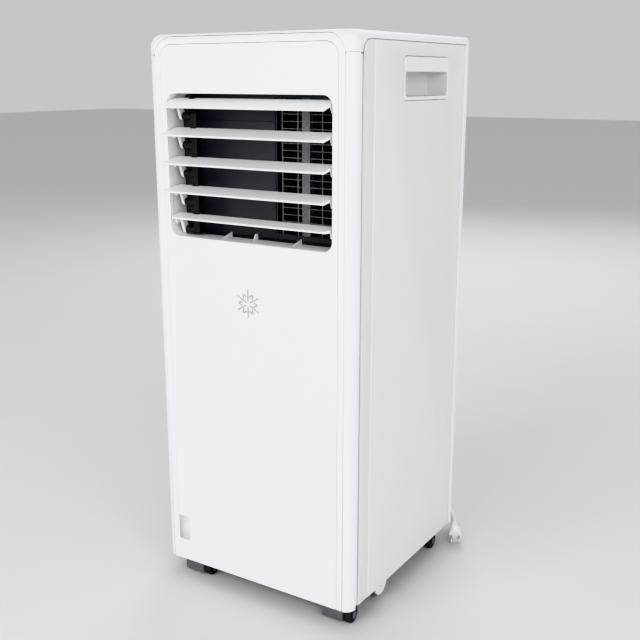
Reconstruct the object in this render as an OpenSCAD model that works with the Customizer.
// Portable air conditioner: an upright white plastic cabinet on four casters, with a
// five-blade outlet louvre in the front, grip pockets in the sides, and the inlet
// filters, exhaust collar and mains lead at the rear. Millimetres, +Z up, front
// towards -Y, origin on the floor below the middle of the cabinet.

/* [Casing] */
// Overall width across the cabinet
body_w = 283; // [280:1:290]
// Casing depth from front panel to rear panel
body_d = 288; // [286:1:294]
// Overall height from floor to top
body_h = 690; // [686:1:700]
// Gap between the floor and the casing
floor_gap = 22; // [21:0.5:24]
// Thickness of the moulded walls
wall = 2.6; // [2.2:0.1:3]
// Radius of the front and top edges
edge_r = 14; // [13:0.5:15]

/* [Front panel] */
// Half width of the raised front plate
plate_half = 121.3; // [119:0.1:123]
// Distance from the top of the cabinet to the top of the plate
plate_drop = 12; // [11:0.5:14]
// Width of the bevelled ring around the plate
bezel_w = 8.4; // [7:0.1:9]

/* [Air outlet] */
// Half width of the louvre opening
outlet_half = 114.2; // [113.6:0.1:115]
// Lower edge of the louvre opening
outlet_low = 456; // [454:0.5:458]
// Upper edge of the louvre opening
outlet_high = 623.5; // [622:0.5:626]
// Corner radius of the louvre opening
outlet_r = 12; // [8:1:14]
// How far the white reveal runs back from the front face
reveal_d = 31; // [28:1:34]

/* [Louvre blades] */
// Distance between neighbouring blade pivots
blade_pitch = 33.7; // [33.5:0.1:34]
// Height of the top blade's pivot
top_pivot = 607.4; // [606:0.1:608.5]
// How far the pivots lie behind the front face
pivot_back = 9; // [8.5:0.1:9.5]
// Blade width in front of its pivot
blade_front = 22; // [21:0.1:22.5]
// Blade width behind its pivot
blade_rear = 8.6; // [8:0.1:9.5]
// Blade thickness
blade_t = 2.6; // [2.2:0.1:3]
// Half length of a blade
blade_half = 112; // [110:0.1:112.2]

/* [Side grips] */
// Lower edge of the grip frame
grip_low = 616; // [612:1:620]
// Height of the grip frame
grip_h = 48.6; // [46:0.2:52]
// Front end of the grip frame
grip_front = -33; // [-40:1:-30]
// Length of the grip frame
grip_len = 117; // [112:1:120]
// Depth of the grip pocket
grip_depth = 28; // [24:1:30]

/* [Rear panel] */
// Inner radius of the exhaust collar
exhaust_r = 67; // [62:1:68]
// Height of the exhaust collar's axis
exhaust_z = 330; // [325:1:335]
// Half width of both filter openings
filter_half = 104; // [100:1:106]

/* [Casters] */
// Distance from the centre line to each caster stem
caster_x = 107; // [104:1:108]
// Distance from the middle to each caster stem, front to rear
caster_y = 110; // [108:1:111]
// Wheel radius
wheel_r = 10.8; // [10:0.1:10.9]
// Wheel width
wheel_w = 8; // [7:0.5:8.5]
// How far the wheel trails behind its stem
trail = 15; // [13:0.5:15]

/* [Mains lead] */
// Outer diameter of the lead
cord_d = 6.6; // [6:0.2:7.2]

/* [Hidden] */
$fn = 48;
y_front = -body_d / 2;
y_rear = body_d / 2;
half_w = body_w / 2;
gap = 0.4;
plate_top = body_h - plate_drop;
plate_r = 16;
bezel_half = plate_half + gap + bezel_w;
bezel_top = plate_top + gap + bezel_w;
bezel_r = plate_r + bezel_w;
plate_t = 3;
panel_x = half_w - 0.9;
strip_step = 0.8;
strip_end = -97.8;
groove_w = 9;
// Depth of that groove's floor below the casing's side
groove_d = 3.3;
// Radius of the top's side edges where they meet the rear panel
rear_edge_r = 5;
// Where the cover's corners start behind the bezel's rounded corners
cover_corner_x = 100;
trim_end = y_front + edge_r - 0.4;
panel_front = trim_end + groove_w;
panel_rear = y_rear - 10.6;
panel_top = body_h - 9.2;
trim_top = body_h - 23;
panel_corner = 16;
cover_rear = y_rear - 2.6;
tongue_x = panel_x - wall - 0.3;
rear_strip_w = 10.2;

// Open tilt of each blade below level, from the top blade down
blade_tilt = [18, 14, 12, 9.5, 8.5];
// The bottom blade is narrower, because the opening's lower edge is close below it
bottom_blade_front = 13.4;
pivot_y = y_front + pivot_back;
pin_r = 2;
pin_clear = 0.06;
arm_x = 103;
arm_w = 4;
// Crank pin seen from its blade's pivot, with the blades open
crank_y = 9;
crank_z = -10.5;
crank_pin_r = 2.2;
link_x = -90;
link_w = 9;
link_notch = 4.4;

// The collar stands out at the rear as far as the top blade does at the front
blade_reach = pivot_back - blade_front * cos(blade_tilt[0]) - pivot_back * sin(blade_tilt[0]);
overhang = -blade_reach;
collar_t = 2.4;
collar_in = 12;

upper_low = 452;
upper_high = 640;
lower_low = 108;
lower_high = 236;
slat_pitch = 9;
slat_t = 3.6;

deck_z = 408;
deck_t = 3;
duct_front = y_front + reveal_d;
duct_back = -92;
skin_t = 2.4;
throat_x0 = 5;
throat_x1 = 92;
// Left side of the blower's own mouth
outlet_x = 50;

riser_x = -128;
riser_y = -111;
blower_x = -22;
blower_z = 540;
cond_blower_z = 322;
wheel_outer = 66;

condenser_low = 46;
evaporator_low = 450;
coil_h = 192;

pan_half = half_w - 10;
// The hood reaches further out than in, because the wheel stands outside it
hood_in = 9;
hood_out = 20;
hood_low = 3;
hood_top = floor_gap - 0.8;
stem_r = 5;
stem_clear = 0.08;
axle_r = 3;
wheel_gap = 0.8;
// Each caster's place as side and end signs
CASTERS = [[-1, -1], [1, -1], [-1, 1], [1, 1]];

drain_y = -60;
drain_z = 15;
drain_r = 6.5;
drain_clear = 0.08;
tab_r = 14.5;

button_r = 7;
// Button centres across the control panel
button_xs = [-66, -44, 22, 44, 66];
panel_mid_y = -58;
panel_half_x = 86;
panel_half_y = 27;

gland_x = 112;
gland_z = 78;
coil_x = 30;
coil_y = 222;
coil_mid_r = 39.6;
coil_rings = 2;
coil_layers = 3;
plug_x = 149.5;
plug_y = 140;
// The plug lies turned outwards by this angle
plug_turn = 25;

// Route of the lead from the strain relief down onto the coil
LEAD = [[112, 171, 78], [112, 178, 77.2], [111.8, 185, 74.8], [111, 191, 70.6], [109.2, 195.6, 65],
        [106.4, 198.6, 58.4], [102.4, 200, 51.6], [97.2, 199.8, 45.2], [91.2, 198.2, 39.6], [84.4, 195.6, 34.8],
        [77, 192.6, 31], [69.2, 189.8, 28], [61.2, 187.4, 25.6], [53, 186, 23.4], [45, 185.6, 21.2], [37, 185.6, 19]];
// Route of the lead from the coil round the rear corner to the plug
TAIL = [[30, 264.9, 3.4], [41, 264.3, 3.4], [52, 261.4, 3.4], [64, 255.8, 3.4], [76, 247.5, 3.4],
        [87, 238, 3.4], [96.6, 228.6, 3.4], [105.3, 219, 3.4], [113, 209, 3.4], [119.8, 199, 3.5],
        [125.8, 189, 4.2], [131, 179.2, 5.9], [135.6, 169.9, 8.2], [139.7, 161.1, 10]];

// ---------- shared shapes ----------

// Extrudes an XZ outline along Y from y0 to y1
module along_y(y0, y1) {
    translate([0, y1, 0]) rotate([90, 0, 0]) linear_extrude(y1 - y0) children();
}

// Extrudes a YZ outline along X from x0 to x1
module along_x(x0, x1) {
    translate([x0, 0, 0]) rotate([90, 0, 90]) linear_extrude(x1 - x0) children();
}

module block(low, high) {
    translate(low) cube([high[0] - low[0], high[1] - low[1], high[2] - low[2]]);
}

// Round bar along X
module bar_x(x0, x1, y, z, r, sides = 40) {
    translate([x0, y, z]) rotate([0, 90, 0]) cylinder(r = r, h = x1 - x0, $fn = sides);
}

// Round bar along Y
module bar_y(y0, y1, x, z, r, sides = 48) {
    translate([x, y1, z]) rotate([90, 0, 0]) cylinder(r = r, h = y1 - y0, $fn = sides);
}

// Rectangle with its two upper corners rounded
module arch(half, low, high, r) {
    translate([-half, low]) square([2 * half, high - low - r]);
    translate([-half + r, low]) square([2 * (half - r), high - low]);
    for (sx = [-1, 1]) translate([sx * (half - r), high - r]) circle(r = r);
}

// Rectangle with four rounded corners
module rounded(x0, x1, low, high, r) {
    translate([x0 + r, low]) square([x1 - x0 - 2 * r, high - low]);
    translate([x0, low + r]) square([x1 - x0, high - low - 2 * r]);
    for (x = [x0 + r, x1 - r], z = [low + r, high - r]) translate([x, z]) circle(r = r);
}

// Outer form of the cabinet, shrunk by inset on every face but the floor side
module casing_form(inset) {
    r = edge_r - inset;
    r_rear = rear_edge_r - inset;
    cx = half_w - edge_r;
    cx_rear = half_w - rear_edge_r;
    hull() for (sx = [-1, 1]) {
        translate([sx * cx, y_front + edge_r, body_h - edge_r]) sphere(r = r, $fn = 36);
        translate([sx * cx, y_front + edge_r, floor_gap]) cylinder(r = r, h = 1, $fn = 36);
        translate([sx * cx_rear, y_rear - inset, body_h - rear_edge_r])
            rotate([90, 0, 0]) cylinder(r = r_rear, h = 1, $fn = 36);
        translate([sx * (half_w - inset - 0.5), y_rear - inset - 0.5, floor_gap + 0.5])
            cube(1, center = true);
    }
}

module casing_shell(outer, inner) {
    difference() {
        casing_form(outer);
        casing_form(inner);
    }
}

// Tube swept along a list of points, closed at both ends; each ring's first spoke is the
// previous ring's, turned no more than the route itself turns
function unit(v) = v / norm(v);
function heading(p, i) = unit(p[min(i + 1, len(p) - 1)] - p[max(i - 1, 0)]);
function flatten(v, d) = unit(v - (v * d) * d);
function spoke(p, i) = i == 0 ? flatten([1, 0.3, 0.2], heading(p, 0)) : flatten(spoke(p, i - 1), heading(p, i));
function ring(p, i, r, n) = let (d = heading(p, i), s = spoke(p, i), u = cross(d, s))
    [for (k = [0:n - 1]) p[i] + r * (cos(360 * k / n) * s + sin(360 * k / n) * u)];
module tube(points, r, n = 8) {
    last = len(points) - 1;
    verts = [for (i = [0:last]) each ring(points, i, r, n)];
    walls = [for (i = [0:last - 1], k = [0:n - 1])
        [i * n + k, (i + 1) * n + k, (i + 1) * n + (k + 1) % n, i * n + (k + 1) % n]];
    start = [for (k = [0:n - 1]) k];
    end = [for (k = [n - 1:-1:0]) last * n + k];
    polyhedron(verts, concat(walls, [start, end]), convexity = 8);
}

// ---------- casing ----------

module front_panel() {
    color("white") difference() {
        along_y(y_front, y_front + plate_t) arch(plate_half, floor_gap, plate_top, plate_r);
        along_y(y_front - 1, y_front + plate_t + 1)
            rounded(-outlet_half, outlet_half, outlet_low, outlet_high, outlet_r);
    }
}

module front_bezel() {
    color("white") intersection() {
        casing_shell(0.6, 3.2);
        difference() {
            along_y(y_front - 1, y_front + edge_r) arch(bezel_half, floor_gap, bezel_top, bezel_r);
            along_y(y_front - 2, y_front + edge_r + 1)
                arch(plate_half + gap, floor_gap - 1, plate_top + gap, plate_r + gap);
        }
    }
}

// White reveal behind the front panel that carries the blade pins
module louvre_frame() {
    rim = 3.4;
    y0 = y_front + plate_t;
    color("white") {
        difference() {
            along_y(y0, duct_front) rounded(-outlet_half - rim, outlet_half + rim,
                                            outlet_low - rim, outlet_high + rim, outlet_r + rim);
            along_y(y0 - 1, duct_front + 1)
                rounded(-outlet_half, outlet_half, outlet_low, outlet_high, outlet_r);
            for (i = [0:4]) bar_x(-outlet_half - rim - 1, outlet_half + rim + 1, pivot_y,
                                  top_pivot - i * blade_pitch, pin_r + pin_clear);
        }
        for (x = [-46, 54]) along_x(x, x + 1.8)
            polygon([[duct_front - 24, outlet_low - 1], [duct_front, outlet_low - 1], [duct_front, outlet_low + 6]]);
        along_x(-8, -6) polygon([[duct_front - 9, outlet_low - 1], [duct_front, outlet_low - 1],
                                 [duct_front, outlet_low + 7], [duct_front - 4, outlet_low + 7]]);
    }
}

// Corner strip with the tongue that lies behind the groove next to the side panel
module corner_trim() {
    lip = 1.6;
    lip_x = bezel_half + gap;
    intersection() {
        casing_shell(0, wall);
        block([bezel_half + gap, y_front - 1, floor_gap], [half_w + 1, trim_end, trim_top - gap]);
    }
    block([tongue_x - 2, trim_end - 2.4, floor_gap + 1], [half_w - wall + 0.8, trim_end - 0.4, trim_top - gap - 1]);
    block([tongue_x - 2, trim_end - 2.4, floor_gap + 1], [tongue_x, panel_front + 5, trim_top - gap - 1]);
    block([tongue_x - 1, trim_end - 1, floor_gap + 1], [half_w - groove_d, panel_front - gap, trim_top - gap - 1]);
    intersection() {
        casing_shell(wall - 0.2, wall + lip);
        block([lip_x, y_front - 1, trim_top - 8], [half_w, trim_end - 2.8, trim_top - gap]);
    }
    intersection() {
        casing_shell(wall + 0.15, wall + lip);
        block([lip_x, y_front - 1, trim_top - 7], [half_w, trim_end - 2.8, trim_top + 3]);
    }
}
module corner_trim_right() { color("whitesmoke") corner_trim(); }
module corner_trim_left() { color("whitesmoke") mirror([1, 0, 0]) corner_trim(); }

// Side panel's outline in the YZ plane, with its upper front corner rounded
module side_outline(front, top, r) {
    difference() {
        translate([front, floor_gap - 1]) square([y_rear + 2 - front, top - floor_gap + 1]);
        difference() {
            translate([front - 1, top - r]) square([r + 1, r + 1]);
            translate([front + r, top - r]) circle(r = r, $fn = 64);
        }
    }
}

// Top cover with short skirts at the front corners, a backing behind their grooves and a rear wall
module top_cover() {
    reach = panel_front + panel_corner + 2;
    color("white") {
        difference() {
            intersection() {
                casing_shell(0, wall);
                union() {
                    block([-half_w - 1, y_front - 1, panel_top + gap], [half_w + 1, cover_rear, body_h + 1]);
                    for (x = [-half_w - 1, cover_corner_x])
                        block([x, y_front - 1, trim_top], [x + half_w + 1 - cover_corner_x, reach, body_h]);
                }
            }
            along_y(y_front - 2, y_front + edge_r) arch(bezel_half + gap, floor_gap, bezel_top + gap, bezel_r + gap);
            along_x(-half_w - 1, half_w + 1) side_outline(trim_end, panel_top + gap, panel_corner + 1.5);
            block([-panel_half_x - gap, panel_mid_y - panel_half_y - gap, body_h - 10],
                  [panel_half_x + gap, panel_mid_y + panel_half_y + gap, body_h + 1]);
        }
        intersection() {
            casing_form(1);
            union() {
                for (x = [-tongue_x, tongue_x - 2])
                    block([x, trim_end - 2.4, trim_top - gap], [x + 2, reach + 2, panel_top + wall]);
                block([-half_w + 1, cover_rear - wall, panel_top + gap], [half_w - 1, cover_rear, body_h - 1]);
            }
        }
    }
}

module control_panel() {
    color("dimgray") difference() {
        union() {
            block([-panel_half_x, panel_mid_y - panel_half_y, body_h - 3.4],
                  [panel_half_x, panel_mid_y + panel_half_y, body_h - 0.4]);
            block([-panel_half_x - 4, panel_mid_y - panel_half_y - 4, body_h - 4.4],
                  [panel_half_x + 4, panel_mid_y + panel_half_y + 4, body_h - wall - 0.2]);
        }
        for (x = button_xs) translate([x, panel_mid_y, body_h - 5]) cylinder(r = button_r + 0.3, h = 6);
        block([-26, panel_mid_y - 13, body_h - 1.4], [6, panel_mid_y + 13, body_h]);
    }
}

module control_board() {
    color("green") {
        block([-82, panel_mid_y - 24, body_h - 12], [82, panel_mid_y + 24, body_h - 10.4]);
        for (x = button_xs) block([x - 3, panel_mid_y - 3, body_h - 10.4], [x + 3, panel_mid_y + 3, body_h - 7.4]);
        block([-24, panel_mid_y - 11, body_h - 10.4], [4, panel_mid_y + 11, body_h - 4.4]);
        for (x = [-76, 76], y = [-19, 19])
            translate([x, panel_mid_y + y, body_h - 10.4]) cylinder(r = 3, h = 6);
    }
}

module button(index) {
    color("gainsboro") translate([button_xs[index], panel_mid_y, body_h - 5.4]) cylinder(r = button_r, h = 5.4);
}
module button_power() { button(0); }
module button_mode() { button(1); }
module button_down() { button(2); }
module button_up() { button(3); }
module button_fan() { button(4); }

module side_panel() {
    inner = panel_x - wall;
    difference() {
        intersection() {
            translate([0, 0, floor_gap]) linear_extrude(panel_top - floor_gap)
                polygon([[inner, panel_front], [panel_x - strip_step - 0.8, panel_front],
                         [panel_x - strip_step, panel_front + 0.8], [panel_x - strip_step, strip_end - 1],
                         [panel_x, strip_end], [panel_x, panel_rear], [inner, panel_rear]]);
            along_x(inner - 1, half_w + 1) side_outline(panel_front, panel_top, panel_corner);
        }
        along_x(inner - 1, half_w + 1) rounded(grip_front - gap, grip_front + grip_len + gap,
                                               grip_low - gap, grip_low + grip_h + gap, 8 + gap);
    }
}
module side_panel_right() { color("gainsboro") side_panel(); }
module side_panel_left() { color("gainsboro") mirror([1, 0, 0]) side_panel(); }

module grip() {
    rim = 4.2;
    brow = 17;
    skin = 2;
    x_in = half_w - grip_depth;
    front = grip_front + rim;
    rear = grip_front + grip_len - 2.6;
    low = grip_low + rim;
    high = grip_low + grip_h - 3;
    difference() {
        union() {
            along_x(half_w - 4, half_w) rounded(grip_front, grip_front + grip_len, grip_low, grip_low + grip_h, 8);
            block([x_in - skin, front - skin, low - skin], [half_w - 4, rear + skin, high + skin]);
        }
        block([x_in, front, low], [half_w - 3, rear, high]);
        along_x(x_in, half_w + 1) rounded(front, rear, low, grip_low + grip_h - brow, 3);
    }
}
module grip_right() { color("white") grip(); }
module grip_left() { color("white") mirror([1, 0, 0]) grip(); }

module rear_panel() {
    color("white") difference() {
        translate([0, 0, floor_gap]) linear_extrude(panel_top - floor_gap)
            polygon([[-half_w, y_rear - rear_strip_w], [-half_w + wall, y_rear - rear_strip_w],
                     [-half_w + wall, y_rear - wall], [half_w - wall, y_rear - wall],
                     [half_w - wall, y_rear - rear_strip_w], [half_w, y_rear - rear_strip_w],
                     [half_w, y_rear - 1.5], [half_w - 1.5, y_rear], [-half_w + 1.5, y_rear],
                     [-half_w, y_rear - 1.5]]);
        along_y(y_rear - wall - 1, y_rear + 1) {
            rounded(-filter_half, filter_half, upper_low, upper_high, 6);
            rounded(-filter_half, filter_half, lower_low, lower_high, 6);
        }
        bar_y(y_rear - wall - 1, y_rear + 1, 0, exhaust_z, exhaust_r + collar_t + 0.3, 96);
        bar_y(y_rear - wall - 1, y_rear + 1, gland_x, gland_z, 8.2);
        bar_y(y_rear - wall - 1, y_rear + 1, 0, 60, 9.1);
        for (z = [660, 424, 250, 44], x = [-128, 128]) bar_y(y_rear - wall - 1, y_rear + 1, x, z, 2.2);
    }
}

// Louvred cover of a filter, with a finger notch in its top edge
module filter_cover(low, high) {
    border = 9;
    count = floor((high - low - 2 * border) / slat_pitch);
    y0 = y_rear - 4;
    y1 = y_rear + 0.8;
    difference() {
        along_y(y0, y1) rounded(-filter_half + gap, filter_half - gap, low + gap, high - gap, 5.6);
        along_y(y0 - 1, y1 + 1) rounded(-filter_half + border, filter_half - border, low + border, high - border, 3);
        along_y(y1 - 2.4, y1 + 1) rounded(-14, 14, high - border + 1.5, high + 6, 3);
    }
    for (i = [1:count - 1]) block([-filter_half + border - 1, y0 + 1, low + border + i * slat_pitch - slat_t / 2],
                                  [filter_half - border + 1, y1 - 0.6, low + border + i * slat_pitch + slat_t / 2]);
    for (x = [-48, 0, 48]) block([x - 1.5, y0, low + border - 1], [x + 1.5, y0 + 2, high - border + 1]);
}

// Washable filter: a frame with ribs round a thin woven sheet
module filter_mesh(low, high) {
    y0 = y_rear - 7.4;
    y1 = y_rear - 4.2;
    edge = 5;
    difference() {
        block([-filter_half + 3, y0, low + 3], [filter_half - 3, y1, high - 3]);
        block([-filter_half + 3 + edge, y0 - 1, low + 3 + edge], [filter_half - 3 - edge, y1 + 1, high - 3 - edge]);
    }
    block([-filter_half + 4, y0 + 1.2, low + 4], [filter_half - 4, y0 + 1.8, high - 4]);
    for (x = [-63, -21, 21, 63]) block([x - 1, y0 + 0.4, low + 4], [x + 1, y1 - 0.4, high - 4]);
}

module upper_filter_cover() { color("white") filter_cover(upper_low, upper_high); }
module lower_filter_cover() { color("white") filter_cover(lower_low, lower_high); }
module upper_filter_mesh() { color("dimgray") filter_mesh(upper_low, upper_high); }
module lower_filter_mesh() { color("dimgray") filter_mesh(lower_low, lower_high); }

// Round spigot that the exhaust hose pushes into
module exhaust_collar() {
    color("white") difference() {
        union() {
            bar_y(y_rear - collar_in, y_rear + overhang, 0, exhaust_z, exhaust_r + collar_t, 96);
            bar_y(y_rear, y_rear + 2.4, 0, exhaust_z, exhaust_r + collar_t + 7, 96);
        }
        bar_y(y_rear - collar_in - 1, y_rear + overhang + 1, 0, exhaust_z, exhaust_r, 96);
    }
}

module base_pan() {
    color("dimgray") difference() {
        union() {
            block([-pan_half, y_front + 6, floor_gap], [pan_half, y_rear - 4, floor_gap + 3]);
            for (x = [-pan_half, pan_half - 3]) block([x, y_front + 22, floor_gap], [x + 3, y_rear - 12, floor_gap + 16]);
            for (y = [y_front + 22, y_rear - 15]) block([-pan_half, y, floor_gap], [pan_half, y + 3, floor_gap + 16]);
            for (c = CASTERS) translate([c[0] * caster_x, c[1] * caster_y, floor_gap]) cylinder(r = 12, h = 22);
            block([half_w - 24, drain_y - 10, drain_z - 9], [half_w - 7, drain_y + 10, floor_gap + 1]);
            for (x = [-84, 74]) block([x, 106, floor_gap + 2], [x + 10, 128, condenser_low]);
        }
        for (c = CASTERS) translate([c[0] * caster_x, c[1] * caster_y, floor_gap - 1])
            cylinder(r = stem_r + stem_clear, h = 20);
        bar_x(half_w - 22, half_w - 6, drain_y, drain_z, drain_r + drain_clear);
    }
}

// ---------- casters ----------

// Swivel half of a caster: stem, grey hood and axle, at the origin on the floor
module caster_hood() {
    color("dimgray") {
        along_x(-hood_in, hood_out) rounded(-trail - 13, trail - 4, hood_low, hood_top, 5);
        cylinder(r = stem_r, h = floor_gap + 17);
        translate([0, 0, hood_top - 1]) cylinder(r = 10, h = floor_gap - hood_top + 0.8);
        bar_x(hood_out - 1, hood_out + wheel_gap, -trail, wheel_r, 6);
        bar_x(hood_out - 1, hood_out + wheel_gap + wheel_w + 0.8, -trail, wheel_r, axle_r);
        bar_x(hood_out + wheel_gap + wheel_w + 0.3, hood_out + wheel_gap + wheel_w + 1.5, -trail, wheel_r, 4.5);
    }
}

// Wheel turned from one profile: a tread with rounded shoulders, web and hub
module caster_wheel() {
    x0 = hood_out + wheel_gap + 0.3;
    w = wheel_w - 0.3;
    color("black") translate([x0, -trail, wheel_r]) rotate([0, 90, 0]) difference() {
        rotate_extrude($fn = 72) {
            translate([axle_r + 0.06, 0]) square([5, w]);
            translate([axle_r + 2, w / 2 - 2]) square([wheel_r - axle_r - 4, 4]);
            translate([wheel_r - 6, 0]) square([4, w]);
            translate([wheel_r - 3, 2]) square([3, w - 4]);
            for (z = [2, w - 2]) translate([wheel_r - 2, z]) circle(r = 2, $fn = 24);
        }
        translate([0, 0, -1]) cylinder(r = axle_r + 0.06, h = w + 2);
    }
}

module at_caster(index) {
    translate([CASTERS[index][0] * caster_x, CASTERS[index][1] * caster_y, 0]) children();
}
module caster_hood_front_left() { at_caster(0) caster_hood(); }
module caster_hood_front_right() { at_caster(1) caster_hood(); }
module caster_hood_rear_left() { at_caster(2) caster_hood(); }
module caster_hood_rear_right() { at_caster(3) caster_hood(); }
module caster_wheel_front_left() { at_caster(0) caster_wheel(); }
module caster_wheel_front_right() { at_caster(1) caster_wheel(); }
module caster_wheel_rear_left() { at_caster(2) caster_wheel(); }
module caster_wheel_rear_right() { at_caster(3) caster_wheel(); }

// ---------- louvre ----------

// Blade section in the closed blade's own axes: a shallow curved strip with a thin front edge
module blade_section(reach) {
    polygon([[-reach, pivot_back - 0.4], [-reach, pivot_back - 1.9], [-reach + 1.2, pivot_back - blade_t],
             [blade_rear - 1, pivot_back - blade_t], [blade_rear, pivot_back - blade_t + 1],
             [blade_rear, pivot_back - 0.6], [blade_rear - 1, pivot_back], [-reach + 0.8, pivot_back]]);
}

// What rounding takes off a blade's corner: on side sx, at edge y, whose inside is towards sy
module blade_corner(sx, y, sy, r) {
    translate([sx * blade_half, y, 0]) difference() {
        translate([-r, -r, -1]) cube([2 * r, 2 * r, 12]);
        translate([-sx * r, sy * r, -2]) cylinder(r = r, h = 14);
    }
}

// One blade at its open tilt, with end pins and two crank arms
module blade(index) {
    tilt = blade_tilt[index];
    reach = index == 4 ? bottom_blade_front : blade_front;
    nose = index == 4 ? 9 : 3;
    heel = 5;
    z = top_pivot - index * blade_pitch;
    color("white") translate([0, pivot_y, z]) {
        rotate([tilt, 0, 0]) {
            difference() {
                along_x(-blade_half, blade_half) blade_section(reach);
                for (sx = [-1, 1]) {
                    blade_corner(sx, -reach, 1, nose);
                    blade_corner(sx, blade_rear, -1, heel);
                }
                block([link_x - 0.9, link_notch, 0], [link_x + link_w + 0.9, blade_rear + 1, pivot_back + 1]);
            }
            for (x = [-blade_half + 1, blade_half - 3]) along_x(x, x + 2)
                polygon([[-4, pivot_back - 1], [4, pivot_back - 1], [2.6, -2], [-2.6, -2]]);
        }
        for (sx = [-1, 1]) bar_x(sx < 0 ? -blade_half - 4.6 : blade_half - 2,
                                 sx < 0 ? -blade_half + 2 : blade_half + 4.6, 0, 0, pin_r, 24);
        difference() {
            along_x(-arm_x - arm_w, -arm_x) crank_outline(tilt);
            bar_x(-arm_x - arm_w - 1, -arm_x + 1, crank_y, crank_z, crank_pin_r + pin_clear, 24);
        }
    }
}

// Curved arm from the blade's underside to the crank pin
module crank_outline(tilt) {
    root_z = pivot_back - blade_t + 0.8;
    rotate(tilt) polygon([[-6, root_z], [6, root_z], [8, root_z - 4], [5, root_z - 6], [-1, root_z - 5]]);
    polygon([[-1, 4], [6, 4], [crank_y + 4.2, crank_z + 1], [crank_y - 4.2, crank_z - 1]]);
    translate([crank_y, crank_z]) circle(r = 4.4, $fn = 32);
}

module blade_1() { blade(0); }
module blade_2() { blade(1); }
module blade_3() { blade(2); }
module blade_4() { blade(3); }
module blade_5() { blade(4); }

// Upright bar with a crank pin for every blade
module louvre_link() {
    y = pivot_y + crank_y;
    z_top = top_pivot + crank_z;
    z_low = z_top - 4 * blade_pitch;
    boss_r = 5;
    color("black") {
        along_x(link_x, link_x + link_w) rounded(y - 4, y + 4, z_low - 4.4, z_top + 6, 3.9);
        for (i = [0:4]) {
            z = z_top - i * blade_pitch;
            bar_x(-arm_x + 0.4, link_x + 1, y, z, boss_r, 32);
            bar_x(-arm_x - arm_w - 0.8, -arm_x + 1, y, z, crank_pin_r, 24);
        }
    }
}

// Small gear motor outside the reveal that turns the top blade's pin
module louvre_motor() {
    x_out = -half_w + 7;
    x_in = -outlet_half - 5.6;
    color("silver") {
        bar_x(x_out, x_in, pivot_y + 11, top_pivot, 11);
        bar_x(x_in - 1, -blade_half - 4.9, pivot_y, top_pivot, pin_r - 0.1, 24);
        block([x_in - 1.4, pivot_y + 7, top_pivot - 18], [x_in, pivot_y + 15, top_pivot + 18]);
    }
}

// ---------- air path ----------

// Dark throat behind the louvre; its back wall leaves the blower mouth open on the right
module air_duct() {
    skin = skin_t;
    out_x = outlet_half + 3;
    low = outlet_low - 3;
    high = outlet_high + 3;
    color("black") {
        difference() {
            block([-out_x, duct_front, low], [out_x, duct_back + skin, high]);
            block([-out_x + skin, duct_front - 1, low + skin], [out_x - skin, duct_back, high - skin]);
            block([throat_x0, duct_back - 1, low + 8], [throat_x1, duct_back + skin + 1, high - 8]);
        }
        for (z = [500, 545, 590]) block([-out_x + skin, duct_back - 1, z], [4, duct_back, z + 2]);
        block([-out_x + skin - 0.5, duct_front + 0.5, low + skin], [-out_x + 14, duct_front + 2, high - skin]);
    }
}

// Finger guard in front of the blower mouth: crossed rods round an upright bar
module outlet_guard() {
    rod = 1.6;
    pitch = 8.3;
    wire_x0 = 12.8;
    low = outlet_low + 3;
    high = outlet_high - 3;
    color("gray") along_y(duct_back + skin_t + 0.1, duct_back + skin_t + 2.7) {
        translate([40.5, low]) square([11, high - low]);
        for (x = [throat_x0 - 2, throat_x1]) translate([x, low]) square([2, high - low]);
        for (z = [low, high - 2]) translate([throat_x0 - 2, z]) square([throat_x1 - throat_x0 + 4, 2]);
        for (x = [wire_x0, 34.5, 68]) translate([x - rod / 2, low]) square([rod, high - low]);
        for (z = [low + pitch:pitch:high - 4]) translate([wire_x0, z]) square([throat_x1 + 1 - wire_x0, rod]);
    }
}

// Volute round a blower wheel whose shaft runs front to rear, open at the rear inlet
module volute(x, z, y0, y1, inlet_r) {
    skin = 2;
    difference() {
        bar_y(y0, y1, x, z, wheel_outer + 14, 72);
        bar_y(y0 + skin, y1 - skin, x, z, wheel_outer + 14 - skin, 72);
        bar_y(y1 - skin - 1, y1 + 1, x, z, inlet_r, 72);
        bar_y(y0 - 1, y0 + skin + 1, x, z, 12);
    }
}

module blower_housing() {
    y0 = 8;
    y1 = 92;
    skin = 2;
    low = outlet_low + 2;
    high = outlet_high - 4;
    color("dimgray") difference() {
        union() {
            volute(blower_x, blower_z, y0, y1, 52);
            block([blower_x - 34, 30, deck_z + deck_t], [blower_x + 6, 70, blower_z - wheel_outer - 8]);
            difference() {
                block([outlet_x, duct_back + 8, low], [throat_x1 + 14, y1, high]);
                block([outlet_x + skin, duct_back + 7, low + skin], [throat_x1 + 14 - skin, y1 - skin, high - skin]);
                bar_y(y0 - 1, y1 + 1, blower_x, blower_z, wheel_outer + 14, 72);
            }
        }
        block([outlet_x + skin, y0 + skin, blower_z - 40], [throat_x1, y1 - skin, blower_z + 40]);
    }
}

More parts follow.
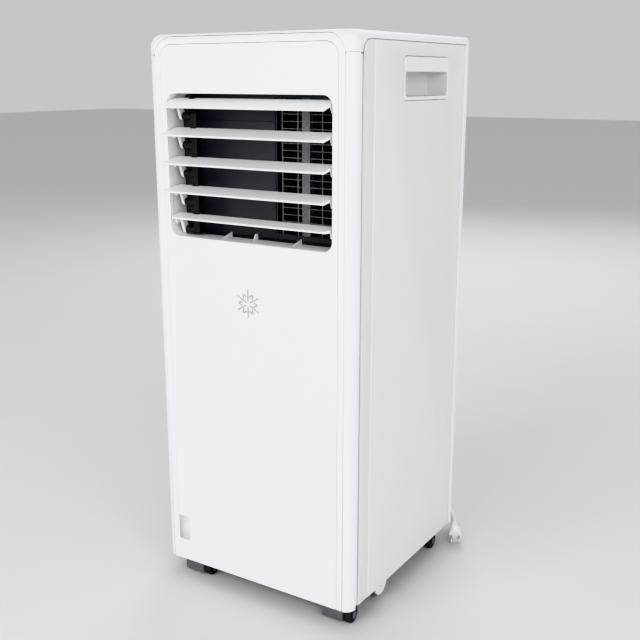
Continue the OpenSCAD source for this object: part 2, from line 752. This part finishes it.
// Squirrel-cage wheel with forward blades, a back plate and a front ring
module cage_wheel(x, z, y0, y1, sign) {
    blades = 30;
    translate([x, 0, z]) {
        difference() {
            union() {
                bar_y(y0, y0 + 2, 0, 0, wheel_outer, 72);
                bar_y(y0, y0 + 22, 0, 0, 14);
                difference() {
                    bar_y(y1 - 4, y1, 0, 0, wheel_outer, 72);
                    bar_y(y1 - 5, y1 + 1, 0, 0, wheel_outer - 11, 72);
                }
            }
            bar_y(y0 - 1, y0 + 23, 0, 0, 4.06, 32);
        }
        for (i = [0:blades - 1]) rotate([0, i * 360 / blades, 0]) translate([wheel_outer - 9, y0 + 1, 0])
            rotate([0, sign * 35, 0]) cube([9, y1 - y0 - 2, 1.4]);
    }
}
module blower_wheel() { color("gray") cage_wheel(blower_x, blower_z, 18, 82, 1); }
module condenser_blower_wheel() { color("gray") cage_wheel(0, cond_blower_z, -12, 38, -1); }

// Fan motor with its shaft, in front of the wheel
module fan_motor(x, z, y_shaft, y_face, len) {
    color("silver") {
        bar_y(y_face - len, y_face, x, z, 34);
        bar_y(y_face - 1, y_face + 5, x, z, 10);
        bar_y(y_face, y_shaft, x, z, 4, 32);
        for (a = [0:120:240]) bar_y(y_face - 6, y_face, x + 38 * cos(a), z + 38 * sin(a), 5, 24);
    }
}
module blower_motor() { fan_motor(blower_x, blower_z, 38, 3, 46); }
module condenser_blower_motor() { fan_motor(0, cond_blower_z, 8, -26, 46); }

module condenser_blower_housing() {
    color("dimgray") difference() {
        union() {
            volute(0, cond_blower_z, -20, 46, 52);
            block([38, -4, floor_gap + 3], [68, 26, cond_blower_z - wheel_outer + 6]);
            bar_y(44, y_rear - collar_in - 0.5, 0, exhaust_z, exhaust_r + 1, 72);
        }
        bar_y(43, y_rear - collar_in + 1, 0, exhaust_z, exhaust_r - 1, 72);
    }
}

// Finned heat exchanger with end plates and return bends
module heat_exchanger(low, high) {
    y0 = 104;
    y1 = 130;
    x_end = 98;
    fins = 28;
    fin_step = 2 * x_end / fins;
    for (i = [0:fins]) block([-x_end + i * fin_step - 0.5, y0, low], [-x_end + i * fin_step + 0.5, y1, high]);
    rows = floor((high - low) / 25);
    step = (high - low) / rows;
    for (j = [0:rows - 1], y = [y0 + 7, y1 - 7])
        bar_x(-x_end - 4, x_end + 4, y, low + step * (j + 0.5), 3.5, 24);
    for (j = [0:rows - 1], sx = [-1, 1])
        translate([sx * (x_end + 4), (y0 + y1) / 2, low + step * (j + 0.5)]) rotate([sx > 0 ? 0 : 180, 0, 0])
            rotate([0, 0, sx > 0 ? -90 : 90]) rotate_extrude(angle = 180, $fn = 48)
                translate([6, 0]) circle(r = 3.5, $fn = 24);
}
module evaporator() { color("silver") heat_exchanger(evaporator_low, evaporator_low + coil_h); }
module condenser() { color("silver") heat_exchanger(condenser_low, condenser_low + coil_h); }

module middle_deck() {
    color("lightgray") difference() {
        union() {
            block([-pan_half, y_front + 8, deck_z], [pan_half, y_rear - 4, deck_z + deck_t]);
            for (x = [-112, 109]) block([x, 98, deck_z], [x + 3, 138, deck_z + 36]);
            for (y = [96, 136]) block([-112, y, deck_z], [112, y + 2, deck_z + 30]);
            for (x = [-84, 74]) block([x, 106, deck_z], [x + 10, 128, evaporator_low]);
        }
        translate([riser_x, riser_y, deck_z - 1]) cylinder(r = 9, h = deck_t + 2);
        translate([120, 60, deck_z - 1]) cylinder(r = 9, h = deck_t + 2);
    }
}

// Rotary compressor: a turned shell with domed ends, its feet and its suction accumulator
module compressor() {
    color("black") translate([-48, -45, 0]) {
        rotate_extrude($fn = 72) polygon(concat([[0, 42], [30, 42], [50, 50]],
            [[50, 200]], [for (a = [10:10:80]) [50 * cos(a), 200 + 22 * sin(a)]], [[0, 222]]));
        for (a = [30:120:270]) rotate(a) {
            block([40, -12, 44], [66, 12, 48]);
            translate([60, 0, floor_gap + 3]) cylinder(r = 9, h = 21);
        }
        translate([0, -66, 80]) cylinder(r = 20, h = 110);
        translate([0, -66, 190]) cylinder(r = 5, h = 14);
        block([-5, -66, 120], [5, -40, 128]);
        translate([0, 0, 215]) cylinder(r = 16, h = 18);
    }
}

// Copper line along a list of corners, with a bent knee at each inner corner
module line_of(points, r) {
    for (i = [0:len(points) - 2]) {
        run = points[i + 1] - points[i];
        len = norm(run);
        translate(points[i]) rotate([0, acos(run[2] / len), atan2(run[1], run[0])]) cylinder(r = r, h = len, $fn = 24);
    }
    for (i = [1:len(points) - 2]) translate(points[i]) sphere(r = r + 0.6, $fn = 24);
}

// Suction and discharge lines between compressor, condenser and evaporator
module refrigerant_pipes() {
    color("peru") {
        line_of([[-48, riser_y, 200], [-48, riser_y, 236], [riser_x, riser_y, 236], [riser_x, riser_y, 458],
                 [riser_x, 111, 458], [-103, 111, 458]], 4);
        line_of([[-20, -45, 212], [-20, -45, 235], [118, -45, 235], [118, 111, 235], [103, 111, 228]], 4);
    }
}

// ---------- drains and fasteners ----------

// Soft plug in the base drain, with the half-round pull tab that shows below the side panel
module drain_plug_tab() {
    x0 = half_w - 6.6;
    slot = 4;
    color("white") {
        bar_x(half_w - 20, x0 + 1, drain_y, drain_z, drain_r);
        along_x(x0, x0 + 3) difference() {
            intersection() {
                translate([drain_y, floor_gap - 0.5]) circle(r = tab_r, $fn = 64);
                translate([drain_y - tab_r, floor_gap - 0.5 - tab_r]) square([2 * tab_r, tab_r]);
            }
            rounded(drain_y - slot, drain_y + slot, floor_gap - 4.4, floor_gap - 2.4, 0.9);
        }
    }
}

module rear_drain_cap() {
    color("gray") {
        bar_y(y_rear - 10, y_rear + 1, 0, 60, 9);
        bar_y(y_rear + 0.4, y_rear + 4, 0, 60, 12);
        block([-9, y_rear + 3.6, 58.6], [9, y_rear + 9, 61.4]);
    }
}

module casing_screws() {
    color("silver") for (z = [660, 424, 250, 44], x = [-128, 128]) difference() {
        union() {
            bar_y(y_rear - 12, y_rear + 0.5, x, z, 1.8, 24);
            bar_y(y_rear + 0.05, y_rear + 2, x, z, 3.6, 32);
        }
        block([x - 2.4, y_rear + 1.1, z - 0.45], [x + 2.4, y_rear + 3, z + 0.45]);
        block([x - 0.45, y_rear + 1.1, z - 2.4], [x + 0.45, y_rear + 3, z + 2.4]);
    }
}

// ---------- mains lead ----------

module cord_gland() {
    color("white") {
        bar_y(y_rear - 6, y_rear + 0.5, gland_x, gland_z, 8);
        bar_y(y_rear + 0.1, y_rear + 3, gland_x, gland_z, 11);
        translate([gland_x, y_rear + 3, gland_z]) rotate([-90, 0, 0])
            cylinder(r1 = 6.5, r2 = cord_d / 2 + 1, h = 24);
    }
}

module cord_lead() { color("white") tube(LEAD, cord_d / 2); }
module cord_tail() { color("white") tube(TAIL, cord_d / 2); }

// Outer shape of the wound turns
module cord_coil() {
    r_out = coil_mid_r + coil_rings * cord_d / 2;
    r_in = coil_mid_r - coil_rings * cord_d / 2;
    color("white") translate([coil_x, coil_y, 0]) rotate_extrude($fn = 72)
        translate([r_in, 0]) square([r_out - r_in, coil_layers * cord_d]);
}

// Mains plug lying on the floor beside the rear corner, pins towards the front
module plug() {
    half = 9.5;
    color("white") {
        translate([plug_x, plug_y, 0]) rotate(plug_turn) {
            block([-half, -18, 0.2], [half, 6, 20.6]);
            translate([0, 6, 10]) rotate([-90, 0, 0]) cylinder(r1 = 9.5, r2 = 5, h = 17);
            for (x = [-5.5, 5.5]) bar_y(-36, -17, x, 10.4, 2, 24);
        }
    }
}

front_panel();
front_bezel();
louvre_frame();
corner_trim_left();
corner_trim_right();
top_cover();
control_panel();
control_board();
button_power();
button_mode();
button_down();
button_up();
button_fan();
side_panel_left();
side_panel_right();
grip_left();
grip_right();
rear_panel();
upper_filter_cover();
upper_filter_mesh();
lower_filter_cover();
lower_filter_mesh();
exhaust_collar();
base_pan();
caster_hood_front_left();
caster_hood_front_right();
caster_hood_rear_left();
caster_hood_rear_right();
caster_wheel_front_left();
caster_wheel_front_right();
caster_wheel_rear_left();
caster_wheel_rear_right();
blade_1();
blade_2();
blade_3();
blade_4();
blade_5();
louvre_link();
louvre_motor();
air_duct();
outlet_guard();
drain_plug_tab();
rear_drain_cap();
middle_deck();
evaporator();
blower_housing();
blower_wheel();
blower_motor();
condenser();
condenser_blower_housing();
condenser_blower_wheel();
condenser_blower_motor();
compressor();
refrigerant_pipes();
casing_screws();
cord_gland();
cord_lead();
cord_coil();
cord_tail();
plug();
